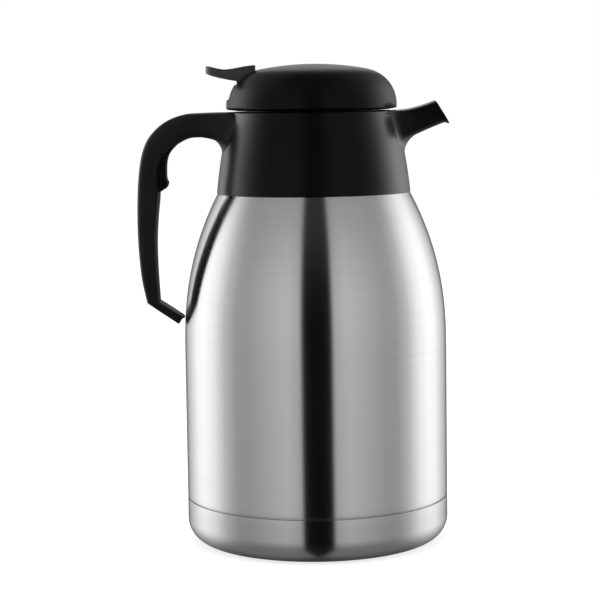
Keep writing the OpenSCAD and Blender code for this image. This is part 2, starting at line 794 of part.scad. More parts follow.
// Side view of the thumb pad, with its dished top
lever_side = [
    lever_point(22.7, 12.7), lever_point(21.7, 12.8), lever_point(17, 11.6), lever_point(13.9, 11),
    lever_point(11.1, 11), lever_point(6.5, 11.6), lever_point(2, 12.4), lever_point(-1.5, 12.8),
    lever_point(-3.3, 12.9), lever_point(-3.4, 12.6), lever_point(-3.3, 9.9), lever_point(-2.9, 1.5),
    lever_point(4.5, 1.1), lever_point(5.3, 4.6), lever_point(10.8, 5.4), lever_point(15.8, 6.5),
    lever_point(19.8, 7.6), lever_point(22.8, 8.9)
];

module thumb_lever() color("#1a1a1c") difference() {
    union() {
        rotate([90, 0, 0]) linear_extrude(height = lever_w, center = true) {
            polygon(lever_side);
            translate([-pivot_x, pivot_z]) circle(r = ear_r);
        }
        translate([-pivot_x, -fork_w / 2, fork_top - fork_t])
            cube([pivot_x - fork_back, fork_w, fork_t]);
    }
    translate([-fork_w + fork_back, -fork_gap / 2, fork_top - fork_t - 1])
        cube([fork_w, fork_gap, fork_t + 2]);
    translate([-pivot_x, 0, pivot_z]) rotate([90, 0, 0])
        cylinder(r = pin_r + run_fit, h = 2 * lever_w, center = true);
}

module valve_stem() color("silver") {
    translate([0, 0, disc_low - seal_t - foot_disc_t])
        cylinder(r = foot_disc_r, h = foot_disc_t);
    translate([0, 0, disc_low - seal_t - foot_disc_t])
        cylinder(r = stem_r, h = clip_z + clip_t - disc_low + seal_t + foot_disc_t);
}

module valve_seal() color("#d8d8d4") ring(stem_r + eps, valve_r, seat_z, disc_low);

module valve_disc() color("#2a2a2c") {
    ring(stem_r + eps, valve_r - 1, disc_low, disc_low + disc_t);
    ring(stem_r + eps, coil_r - wire_r - 0.6, disc_low, disc_low + 2 * disc_t);
}

module stem_clip() color("silver") ring(stem_r + eps, clip_r, clip_z, clip_z + clip_t);

module valve_spring() color("silver") {
    low = disc_low + disc_t + wire_r + eps;
    high = plate_z - wire_r - eps;
    rings_per_turn = 14;
    count = coil_turns * rings_per_turn;
    pitch = (high - low) / coil_turns;
    loft([for (i = [0 : count])
        let (a = 360 * i / rings_per_turn, z = low + (high - low) * i / count)
        [for (k = [0 : 5]) let (b = -60 * k, r = coil_r + wire_r * cos(b))
            [r * cos(a), r * sin(a), z + wire_r * sin(b)]]]);
    echo(least_gap_between_turns = pitch - 2 * wire_r);
}

outer_shell();
inner_liner();
base_cup();
vacuum_disc();
getter();
evacuation_seal();
collar();
pour_bowl();
neck_nut();
neck_gasket();
handle();
handle_strip();
handle_screws();
handle_pad();
stopper_gasket();
stopper();
lid_dome();
lid_screws();
stem_seal();
lever_pin();
thumb_lever();
valve_stem();
valve_disc();
valve_seal();
stem_clip();
valve_spring();
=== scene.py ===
import math
import bpy
import bmesh
import numpy as np
from mathutils import Matrix, Vector


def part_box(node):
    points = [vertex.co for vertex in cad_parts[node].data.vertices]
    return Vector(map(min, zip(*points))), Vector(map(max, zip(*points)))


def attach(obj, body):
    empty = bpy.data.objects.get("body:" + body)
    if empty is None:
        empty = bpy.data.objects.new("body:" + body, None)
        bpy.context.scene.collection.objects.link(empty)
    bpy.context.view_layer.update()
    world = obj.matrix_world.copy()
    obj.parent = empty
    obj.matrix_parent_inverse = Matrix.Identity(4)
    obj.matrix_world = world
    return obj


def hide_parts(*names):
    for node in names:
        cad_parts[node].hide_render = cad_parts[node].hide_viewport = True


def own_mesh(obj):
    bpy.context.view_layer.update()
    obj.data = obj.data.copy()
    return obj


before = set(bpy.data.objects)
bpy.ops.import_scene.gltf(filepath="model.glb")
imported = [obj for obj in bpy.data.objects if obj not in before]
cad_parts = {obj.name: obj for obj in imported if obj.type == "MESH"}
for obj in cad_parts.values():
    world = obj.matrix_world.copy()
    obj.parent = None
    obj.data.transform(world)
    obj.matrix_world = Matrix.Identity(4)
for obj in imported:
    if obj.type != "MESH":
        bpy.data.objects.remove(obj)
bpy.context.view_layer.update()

# Shapes are worked out in millimetres, with +X towards the spout and -X towards the
# handle, and are scaled to metres as each mesh is made.
mm = 0.001


def smoothStep(value, low=0.0, high=1.0):
    t = np.clip((value - low) / (high - low), 0.0, 1.0)
    return t * t * (3 - 2 * t)


def bezier(points, t):
    p = [np.array(q, float) for q in points]
    s = 1 - t
    return s ** 3 * p[0] + 3 * s ** 2 * t * p[1] + 3 * s * t * t * p[2] + t ** 3 * p[3]


def unit(v):
    # a vector, or each row of an array, at length 1
    return v / np.linalg.norm(v, axis=-1, keepdims=True)


def throughPoints(values, u):
    # smooth curve through evenly numbered stations
    values = np.array(values, float)
    last = len(values) - 1
    i = min(int(math.floor(u)), last - 1)
    f = u - i
    a, b, c, d = values[max(i - 1, 0)], values[i], values[i + 1], values[min(i + 2, last)]
    return 0.5 * (2 * b + (c - a) * f + (2 * a - 5 * b + 4 * c - d) * f ** 2
                  + (3 * b - a - 3 * c + d) * f ** 3)


def polar(r, turn, z):
    return (r * math.cos(turn), r * math.sin(turn), z)


def arcPoints(centre, radius, startDeg, endDeg, count):
    turns = np.radians(np.linspace(startDeg, endDeg, count))
    return [(centre[0] + radius * math.cos(t), centre[1] + radius * math.sin(t)) for t in turns]


def roundedPath(corners, steps=4):
    # corners are (r, z, rounding); a rounding of 0 keeps the corner sharp
    path = []
    for i, (r, z, rounding) in enumerate(corners):
        here = np.array((r, z), float)
        if rounding <= 0 or i in (0, len(corners) - 1):
            path.append(here)
            continue
        before = np.array(corners[i - 1][:2], float) - here
        after = np.array(corners[i + 1][:2], float) - here
        reach = min(rounding, 0.49 * np.linalg.norm(before), 0.49 * np.linalg.norm(after))
        start, end = here + unit(before) * reach, here + unit(after) * reach
        for k in range(steps + 1):
            t = k / steps
            path.append((1 - t) ** 2 * start + 2 * t * (1 - t) * here + t * t * end)
    return path


def relax(points, passes):
    # evens out a sudden change of curvature along a list of points
    p = np.array(points, float)
    for _ in range(passes):
        p[1:-1] += 0.5 * ((p[:-2] + p[2:]) / 2 - p[1:-1])
    return [tuple(q) for q in p]


def superOval(upper, lower, halfWidth, power, turns):
    # ring between an upper and a lower edge point of the XZ plane
    middle, arm = (upper + lower) / 2, (upper - lower) / 2
    c, s = np.cos(turns), np.sin(turns)
    scale = (np.abs(c) ** power + np.abs(s) ** power) ** (-1 / power)
    c, s = c * scale, s * scale
    return np.stack([middle[0] + arm[0] * c, halfWidth * s, middle[1] + arm[1] * c], axis=1)


class Skin:
    # collects points and faces of one piece
    def __init__(self):
        self.points = []
        self.faces = []

    def add(self, points):
        start = len(self.points)
        self.points.extend([tuple(map(float, p)) for p in points])
        return list(range(start, len(self.points)))

    def strip(self, a, b, closed=False):
        count = len(a)
        for k in range(count if closed else count - 1):
            n = (k + 1) % count
            self.faces.append((a[k], b[k], b[n], a[n]))

    def sheet(self, rings, closed=False):
        rows = [self.add(ring) for ring in rings]
        for low, high in zip(rows, rows[1:]):
            self.strip(low, high, closed)
        return rows

    def stitch(self, a, b, keysA, keysB):
        # joins two rows that have different numbers of points
        i = j = 0
        while i < len(a) - 1 or j < len(b) - 1:
            if j == len(b) - 1 or (i < len(a) - 1 and keysA[i + 1] <= keysB[j + 1]):
                self.faces.append((a[i], b[j], a[i + 1]))
                i += 1
            else:
                self.faces.append((a[i], b[j], b[j + 1]))
                j += 1

    def cap(self, ring):
        middle = self.add([np.mean([self.points[k] for k in ring], axis=0)])[0]
        for k in range(len(ring)):
            self.faces.append((ring[k], ring[(k + 1) % len(ring)], middle))

    def closedTube(self, rings):
        rows = self.sheet(rings, closed=True)
        self.cap(rows[0])
        self.cap(rows[-1])


def objectFrom(name, mesh):
    obj = bpy.data.objects.new(name, mesh)
    bpy.context.scene.collection.objects.link(obj)
    return obj


def tidyMesh(mesh, sharpDeg):
    work = bmesh.new()
    work.from_mesh(mesh)
    bmesh.ops.remove_doubles(work, verts=work.verts, dist=1e-6)
    bmesh.ops.dissolve_degenerate(work, edges=work.edges, dist=1e-7)
    bmesh.ops.recalc_face_normals(work, faces=work.faces)
    work.to_mesh(mesh)
    work.free()
    mesh.shade_smooth()
    mesh.set_sharp_from_angle(angle=math.radians(sharpDeg))
    mesh.update()


def fromWork(name, work):
    # makes an object of a bmesh
    mesh = bpy.data.meshes.new(name)
    work.to_mesh(mesh)
    work.free()
    return objectFrom(name, mesh)


def skinObject(name, skin, sharpDeg=32.0):
    mesh = bpy.data.meshes.new(name)
    mesh.from_pydata([tuple(c * mm for c in p) for p in skin.points], [], skin.faces)
    tidyMesh(mesh, sharpDeg)
    return objectFrom(name, mesh)


def applyModifiers(obj):
    depsgraph = bpy.context.evaluated_depsgraph_get()
    mesh = bpy.data.meshes.new_from_object(obj.evaluated_get(depsgraph))
    obj.modifiers.clear()
    obj.data = mesh


def cutOrJoin(obj, other, operation):
    modifier = obj.modifiers.new(operation.lower(), "BOOLEAN")
    modifier.object = other
    modifier.operation = operation
    modifier.solver = "EXACT"
    applyModifiers(obj)
    bpy.data.objects.remove(other)


def roundedBlock(name, low, high, bevel, segments=3):
    work = bmesh.new()
    bmesh.ops.create_cube(work, size=1.0)
    for v in work.verts:
        v.co = Vector([(low[k] if v.co[k] < 0 else high[k]) * mm for k in range(3)])
    bmesh.ops.bevel(work, geom=list(work.edges), offset=bevel * mm, segments=segments,
                    profile=0.5, affect="EDGES")
    return fromWork(name, work)


def place(obj, material, body, nodes):
    obj.data.materials.clear()
    obj.data.materials.append(material)
    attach(obj, body)
    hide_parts(*nodes)
    print("  piece", obj.name, len(obj.data.polygons), "faces")


def feed(made, values):
    # links or sets the sockets of one node
    for key, value in values.items():
        if isinstance(value, Signal):
            value.tree.links.new(value.socket, made.inputs[key])
        else:
            made.inputs[key].default_value = value


class Signal:
    # a node socket that can be used in sums
    def __init__(self, tree, socket=None):
        self.tree = tree
        self.socket = socket

    def node(self, kind, settings=None, values=None, out=0):
        made = self.tree.nodes.new(kind)
        for key, value in (settings or {}).items():
            if key == "stops":
                ramp = made.color_ramp
                ramp.elements.remove(ramp.elements[-1])
                for n, (position, level) in enumerate(value):
                    stop = ramp.elements[0] if n == 0 else ramp.elements.new(position)
                    stop.position = position
                    stop.color = (level, level, level, 1)
            else:
                setattr(made, key, value)
        feed(made, values or {})
        return Signal(self.tree, made.outputs[out])

    def calc(self, operation, first, second=0.0):
        return self.node("ShaderNodeMath", {"operation": operation}, {0: first, 1: second})

    def __add__(self, other):
        return self.calc("ADD", self, other)

    __radd__ = __add__

    def __mul__(self, other):
        return self.calc("MULTIPLY", self, other)

    __rmul__ = __mul__

    def __sub__(self, other):
        return self.calc("SUBTRACT", self, other)

    def __rsub__(self, other):
        return self.calc("SUBTRACT", other, self)

    def __truediv__(self, other):
        return self.calc("DIVIDE", self, other)

    def __pow__(self, other):
        return self.calc("POWER", self, other)

    def soft(self, low, high, outLow=0.0, outHigh=1.0):
        return self.node("ShaderNodeMapRange", {"interpolation_type": "SMOOTHSTEP"},
                         {"Value": self, "From Min": low, "From Max": high,
                          "To Min": outLow, "To Max": outHigh})

    def mixColour(self, first, second):
        # self is the factor
        return self.node("ShaderNodeMix", {"data_type": "RGBA"}, {0: self, 6: first, 7: second}, out=2)

    def stretched(self, scale):
        return self.node("ShaderNodeVectorMath", {"operation": "MULTIPLY"}, {0: self, 1: scale})

    def noise(self, scale, detail=2.0, roughness=0.5):
        return self.node("ShaderNodeTexNoise", None,
                         {"Vector": self, "Scale": scale, "Detail": detail, "Roughness": roughness})

    def bump(self, distance):
        return self.node("ShaderNodeBump", None, {"Distance": distance, "Height": self})


def newMaterial(name):
    material = bpy.data.materials.new(name)
    material.use_nodes = True
    spot = Signal(material.node_tree).node("ShaderNodeTexCoord", out="Object")
    return material, material.node_tree.nodes["Principled BSDF"], spot


def shade(colour, factor=1.0, lift=0.0):
    return tuple(min(1, c * factor + lift) for c in colour) + (1,)


steelFinish = {
    "colour": (0.655, 0.657, 0.664),
    "baseTone": 0.88,          # the cup is this much darker than the flask
    "roughness": 0.205,
    "anisotropy": 1.0,
    "lineDensity": 1500.0,     # brush lines per metre of height, coarse layer
    "lineWobble": 7.0,         # how fast a line changes along its length
    "lineTone": 0.022,
    "lineDepth": 0.0000015,
    "lineRough": 0.03,
    "cloudScale": 22.0,
    "cloudRough": 0.02,
}

plasticFinish = {
    "coatRoughness": 0.28,
    # facing goes from 0, seen square on, to 1, seen at a flat angle
    "coatRise": (0.10, 0.50),
    "coatFall": (0.50, 0.85),
    "coatLeft": 0.6,           # share of the coat that is left after the fall
    "grain": 2600.0,
    "grainDepth": 0.000006,
    "cloudScale": 38.0,
    "cloudTone": 1.35,
}


def brushedSteel(name, tone=1.0):
    material, shader, spot = newMaterial(name)
    finish = steelFinish
    wobble, density, lineTone = finish["lineWobble"], finish["lineDensity"], finish["lineTone"]
    coarse = spot.stretched((wobble, wobble, density)).noise(1.0, 2.0, 0.6)
    fine = spot.stretched((2.3 * wobble, 2.3 * wobble, 4.1 * density)).noise(1.0, 1.0, 0.5)
    lines = coarse * 0.6 + fine * 0.4
    cloud = spot.noise(finish["cloudScale"], 3.0, 0.55)
    colour = tuple(tone * c for c in finish["colour"])
    rough = (lines - 0.5) * finish["lineRough"] + (cloud - 0.5) * finish["cloudRough"]
    feed(shader, {"Base Color": lines.soft(0.3, 0.7).mixColour(shade(colour, 1 - lineTone),
                                                               shade(colour, 1 + lineTone)),
                  "Roughness": rough + finish["roughness"],
                  "Normal": lines.bump(finish["lineDepth"]),
                  "Metallic": 1.0, "Anisotropic": finish["anisotropy"], "Anisotropic Rotation": 0.25})
    return material


def plainSteel(name, colour, roughness, grain):
    material, shader, spot = newMaterial(name)
    wear = spot.noise(grain, 4.0, 0.6)
    feed(shader, {"Base Color": wear.soft(0.3, 0.75).mixColour(shade(colour, 0.86), shade(colour)),
                  "Roughness": (wear - 0.5) * 0.25 + roughness,
                  "Normal": spot.noise(grain * 6).bump(0.000006),
                  "Metallic": 1.0})
    return material


def mouldedPlastic(name, colour, roughness, gloss, coat):
    material, shader, spot = newMaterial(name)
    finish = plasticFinish
    grain = spot.noise(finish["grain"], 2.0, 0.6)
    cloud = spot.noise(finish["cloudScale"], 3.0, 0.5)
    # the moulding shines more where it is seen at a flat angle
    facing = spot.node("ShaderNodeLayerWeight", None, {"Blend": 0.5}, out="Facing")
    shine = facing.soft(*finish["coatRise"], 0.0, coat)
    shine = shine * facing.soft(*finish["coatFall"], 1.0, finish["coatLeft"])
    feed(shader, {"Base Color": cloud.soft(0.35, 0.75).mixColour(shade(colour),
                                                                 shade(colour, finish["cloudTone"])),
                  "Roughness": (grain - 0.5) * 0.08 + (cloud - 0.5) * 0.05 + roughness,
                  "Normal": grain.bump(finish["grainDepth"]),
                  "Coat Weight": shine, "Coat Roughness": finish["coatRoughness"], "Coat IOR": 1.5,
                  "IOR": 1.49, "Specular IOR Level": gloss})
    return material


def softRubber(name, colour, roughness, subsurface=0.0, gloss=0.4):
    material, shader, spot = newMaterial(name)
    grain = spot.noise(1500.0, 3.0, 0.65)
    dust = spot.noise(60.0, 3.0, 0.5)
    feed(shader, {"Base Color": dust.soft(0.4, 0.8).mixColour(shade(colour), shade(colour, 1.25, 0.004)),
                  "Roughness": (grain - 0.5) * 0.12 + roughness,
                  "Normal": grain.bump(0.00001),
                  "IOR": 1.43, "Specular IOR Level": gloss,
                  "Subsurface Weight": subsurface, "Subsurface Scale": 0.002})
    return material


brushedOuter = brushedSteel("brushedOuterSteel")
brushedBase = brushedSteel("brushedBaseSteel", steelFinish["baseTone"])
drawnSteel = plainSteel("drawnLinerSteel", (0.62, 0.62, 0.61), 0.32, 90.0)
getterGrey = plainSteel("getterGrey", (0.3, 0.3, 0.31), 0.5, 300.0)
screwSteel = plainSteel("screwSteel", (0.66, 0.66, 0.67), 0.22, 400.0)
# colour, roughness, plain gloss and coat of each plastic
blackPlastic = mouldedPlastic("blackMouldedPlastic", (0.0013, 0.0013, 0.0016), 0.30, 0.12, 1.0)
lidPlastic = mouldedPlastic("blackLidPlastic", (0.0013, 0.0013, 0.0016), 0.32, 0.115, 0.32)
handlePlastic = mouldedPlastic("blackHandlePlastic", (0.0044, 0.0044, 0.0048), 0.44, 0.16, 0.08)
leverPlastic = mouldedPlastic("blackLeverPlastic", (0.019, 0.019, 0.0198), 0.40, 0.4, 0.6)
innerPlastic = mouldedPlastic("innerPlastic", (0.012, 0.012, 0.0125), 0.42, 0.4, 0.5)
gripRubber = softRubber("gripRubber", (0.0016, 0.0016, 0.0018), 0.55, gloss=0.12)
clearSilicone = softRubber("siliconeSeal", (0.74, 0.73, 0.70), 0.45, 0.25)
redSilicone = softRubber("redSiliconeSeal", (0.42, 0.09, 0.06), 0.45, 0.1)
print("materials made")


def buildTurnedTree():
    # turns a profile, drawn as points in the XZ plane, round the Z axis
    tree = bpy.data.node_groups.new("turnedProfile", "GeometryNodeTree")
    face = tree.interface
    face.new_socket("Profile", in_out="INPUT", socket_type="NodeSocketGeometry")
    count = face.new_socket("Segments", in_out="INPUT", socket_type="NodeSocketInt")
    count.default_value, count.min_value = 192, 12
    face.new_socket("Finish", in_out="INPUT", socket_type="NodeSocketMaterial")
    face.new_socket("Turned", in_out="OUTPUT", socket_type="NodeSocketGeometry")
    given = tree.nodes.new("NodeGroupInput").outputs
    profile, segments, finish = [Signal(tree, given[k]) for k in ("Profile", "Segments", "Finish")]

    rows = profile.node("GeometryNodeAttributeDomainSize", None, {0: profile}, out="Point Count")
    grid = profile.node("GeometryNodeMeshGrid", None, {"Vertices X": segments + 1, "Vertices Y": rows})
    index = profile.node("GeometryNodeInputIndex")
    column = index.calc("FLOOR", (index + 0.5) / rows)
    position = profile.node("GeometryNodeInputPosition")
    sample = profile.node("GeometryNodeSampleIndex", {"data_type": "FLOAT_VECTOR"},
                          {"Geometry": profile, "Value": position, "Index": index - column * rows})
    turned = sample.node("ShaderNodeVectorRotate", {"rotation_type": "Z_AXIS"},
                         {"Vector": sample, "Angle": column / segments * (2 * math.pi)})
    shape = grid.node("GeometryNodeSetPosition", None, {"Geometry": grid, "Position": turned})
    shape = shape.node("GeometryNodeMergeByDistance", None, {"Geometry": shape, "Distance": 1e-6})
    for kind in ("SetShadeSmooth", "RealizeInstances"):
        shape = shape.node("GeometryNode" + kind, None, {"Geometry": shape})
    shape = shape.node("GeometryNodeSetMaterial", None, {"Geometry": shape, "Material": finish})
    feed(tree.nodes.new("NodeGroupOutput"), {"Turned": shape})
    return tree


turnedTree = buildTurnedTree()


def turnedObject(name, profile, material, segments, sharpDeg=32.0):
    mesh = bpy.data.meshes.new(name + "Profile")
    points = [(r * mm, 0.0, z * mm) for r, z in profile]
    mesh.from_pydata(points, [(k, k + 1) for k in range(len(points) - 1)], [])
    obj = objectFrom(name, mesh)
    modifier = obj.modifiers.new("turned", "NODES")
    modifier.node_group = turnedTree
    sockets = {item.name: item.identifier for item in turnedTree.interface.items_tree
               if item.in_out == "INPUT"}
    modifier[sockets["Segments"]] = segments
    modifier[sockets["Finish"]] = material
    applyModifiers(obj)
    obj.data.name = name
    tidyMesh(obj.data, sharpDeg)
    return obj


flask = {
    "radius": 70.0,
    "wall": 0.8,
    "shoulderStart": 112.0,
    "shoulderArc": 159.75,
    "flatTop": 201.0,
    "neckRadius": 31.2,
    "neckTop": 209.6,
    "seamTop": 24.8,
    "edgeRounding": 0.32,
    "segments": 224,
}


def shoulderRadius(z, inset=0.0):
    arc = flask["shoulderArc"]
    if z <= flask["shoulderStart"]:
        return flask["radius"] - inset
    return flask["radius"] - arc + math.sqrt((arc - inset) ** 2 - (z - flask["shoulderStart"]) ** 2)


def flaskProfile():
    top, wall, edge = flask["flatTop"], flask["wall"], flask["edgeRounding"]
    heights = np.linspace(top, 30.0, 115)
    outer = relax([(shoulderRadius(z), z) for z in heights], 60)
    inner = [(shoulderRadius(z, wall), z) for z in np.linspace(30.0, top - wall, 40)]
    rTop, rInner = outer[0][0], inner[-1][0]
    neck, neckTop = flask["neckRadius"], flask["neckTop"]
    path = roundedPath([(neck - wall, neckTop, 0), (neck, neckTop, 0.2), (neck, top, 1.0),
                        (rTop, top, 0.8), outer[1] + (0,)])
    path += outer[2:]
    r, seam = flask["radius"], flask["seamTop"]
    path += roundedPath([(r, 28, 0), (r, seam, edge), (r - 1, seam, 0.2), (r - 1, 10, 0.2),
                         (r - 1 - wall, 10, 0.2), (r - 1 - wall, seam + 0.8, 0.4),
                         (r - wall, seam + 1.6, 0.4), (r - wall, 29, 0)])
    path += inner
    path += roundedPath([(rInner - 2.0, top - wall, 0), (neck - wall, top - wall, 1.0),
                         (neck - wall, neckTop, 0)])
    return path


baseCup = {
    "top": 24.0,
    "round": 12.8,
    "footOuter": 57.2,
    "footInner": 51.0,
    "footRise": 2.6,
}


def baseProfile():
    r, wall, edge = flask["radius"], flask["wall"], flask["edgeRounding"]
    top, corner, rise = baseCup["top"], baseCup["round"], baseCup["footRise"]
    footOuter, footInner = baseCup["footOuter"], baseCup["footInner"]
    path = roundedPath([(r - wall, 16, 0), (r - wall, top, 0.1), (r, top, edge), (r, 19, 0)])
    path += arcPoints((footOuter, corner), corner, 0, -90, 28)
    path += roundedPath([(footOuter - 1, 0, 0), (footInner, 0, 0.7), (footInner - rise, rise, 1.2),
                         (0, rise, 0)])
    path += roundedPath([(0, rise + wall, 0), (footInner - rise + 0.3, rise + wall, 0.5),
                         (footInner + 0.4, wall, 0.5), (footOuter - 1, wall, 0)])
    path += arcPoints((footOuter, corner), corner - wall, -90, 0, 20)
    path += [(r - wall, 16)]
    return path


shell = turnedObject("flaskShell", flaskProfile(), brushedOuter, flask["segments"])
place(shell, brushedOuter, "vessel", ["outer_shell"])
cup = turnedObject("baseCup", baseProfile(), brushedBase, flask["segments"])
place(cup, brushedBase, "vessel", ["base_cup"])
print("flask turned")

collar = {
    "low": (51.5, 187.0),
    "topRadius": 43.95,
    "top": 230.0,
    "bow": 250.0,
    "edge": 1.6,
    "landInner": 41.15,        # where the bowl's lip lies in its recess
    "recess": 228.5,
    "bore": 38.5,
    "boreLow": 202.0,
    "underInner": 42.0,
    "gap": 0.12,               # between its underside and the flask
    "windowDeg": 36.0,         # half angle of the patch round the spout's root
    "windowLow": 198.0,
    "windowColumns": 41,
    "bodyColumns": 150,
}

spout = {
    "rootLow": 207.0,
    "rootHalf": 20.5,
    "rootPower": 2.2,
    "joinAt": 0.43,            # share of the spout's length at which the root's fillet ends
    "leave": (1.0, 0.9),       # strength of the fillet at the collar, underneath and at the sides
    "arrive": (0.85, 1.0),     # and at the spout
    "top": [[37.4, 229.7], [50.0, 229.2], [58.2, 232.2], [64.6, 234.6]],
    "under": [[46.5, 212.4], [51.5, 215.8], [60.5, 219.6], [70.3, 223.25]],
    "tip": (72.1, 222.3),
    "halfWidths": [14.0, 11.7, 11.1, 11.0],
    "powerTop": 6.0,
    "powerUnder": 3.8,
    "wall": 1.3,
    "ductTop": [[37.2, 223.2], [48.0, 225.0], [57.6, 230.0], [64.9, 233.6]],
    "ductUnder": [[37.2, 213.6], [48.0, 216.0], [58.2, 220.6], [71.3, 223.9]],
    "ductMid": 218.4,
    "ductHalf": (18.0, 6.0),
    "ductNarrower": 0.6,       # by this much more at its inner end
}


def collarOutline():
    low = np.array(collar["low"])
    edge, top = collar["edge"], collar["top"]
    high = np.array((collar["topRadius"], top - edge))
    gap = high - low
    side = unit(np.array((gap[1], -gap[0])))
    centre = (low + high) / 2 - side * math.sqrt(collar["bow"] ** 2 - np.dot(gap, gap) / 4)
    wall = [(centre[0] + math.sqrt(collar["bow"] ** 2 - (z - centre[1]) ** 2), z)
            for z in np.linspace(low[1] + 0.35, high[1], 60)]
    path = [(low[0] - 0.35, low[1]), (low[0] - 0.1, low[1] + 0.08)] + wall
    path += arcPoints((high[0] - edge, high[1]), edge, 0, 90, 12)[1:]
    path.append((collar["landInner"] + 0.25, top))
    path.append((collar["landInner"], top - 0.2))
    return np.array(path)


outline = collarOutline()
outlineAlong = np.concatenate([[0], np.cumsum(np.linalg.norm(np.diff(outline, axis=0), axis=1))])


def outlineAt(s):
    return np.array([np.interp(s, outlineAlong, outline[:, k]) for k in (0, 1)])


def alongAtHeight(z):
    wallEnd = int(np.argmax(outline[:, 1]))
    return float(np.interp(z, outline[:wallEnd, 1], outlineAlong[:wallEnd]))


def onCollar(turn, s):
    r, z = outlineAt(s)
    return np.array(polar(r, turn, z))


def collarNormal(turn, s):
    along = unit(outlineAt(s + 0.05) - outlineAt(s - 0.05))
    return np.array(polar(along[1], turn, -along[0]))


def hermite(p0, t0, p1, t1, f):
    return ((2 * f ** 3 - 3 * f ** 2 + 1) * p0 + (f ** 3 - 2 * f ** 2 + f) * t0
            + (-2 * f ** 3 + 3 * f ** 2) * p1 + (f ** 3 - f ** 2) * t1)


